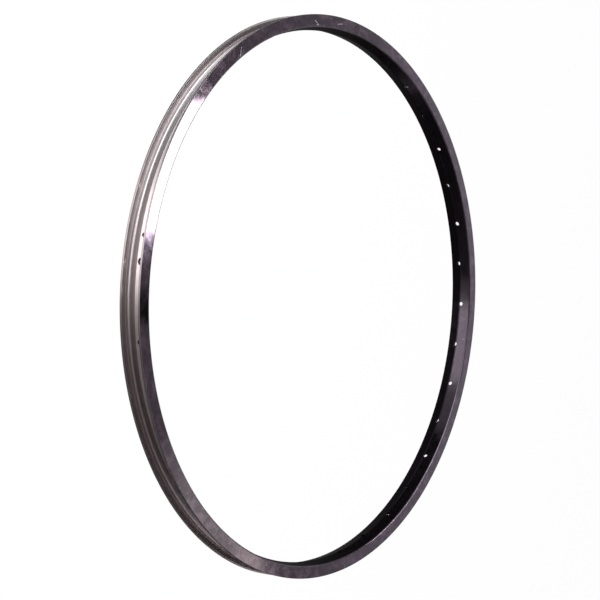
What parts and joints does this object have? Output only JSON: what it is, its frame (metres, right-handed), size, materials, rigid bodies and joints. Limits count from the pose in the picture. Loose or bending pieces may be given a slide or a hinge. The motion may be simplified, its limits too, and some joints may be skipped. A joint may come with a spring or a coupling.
{
  "type": "bicycle rim",
  "caption": "Black anodised aluminium clincher bicycle rim: a hoop of hollow-shouldered section with hooked flanges, drop well, staggered spoke holes, valve hole and sleeved seam.",
  "frame": {"origin": "centre of the hoop, in its middle plane", "axes": "+Z along the wheel's axis, up as the rim lies on its side; +X through the valve hole, -X through the seam"},
  "size_m": [0.635, 0.635, 0.027],
  "materials": {
    "black_anodised": "glossy black anodised over an extruded and rolled surface",
    "mill_aluminium": "plain as extruded"
  },
  "bodies": {
    "root": {"rim_hoop": "black_anodised", "joint_sleeve_upper": "mill_aluminium", "joint_sleeve_lower": "mill_aluminium"}
  },
  "joints": []
}
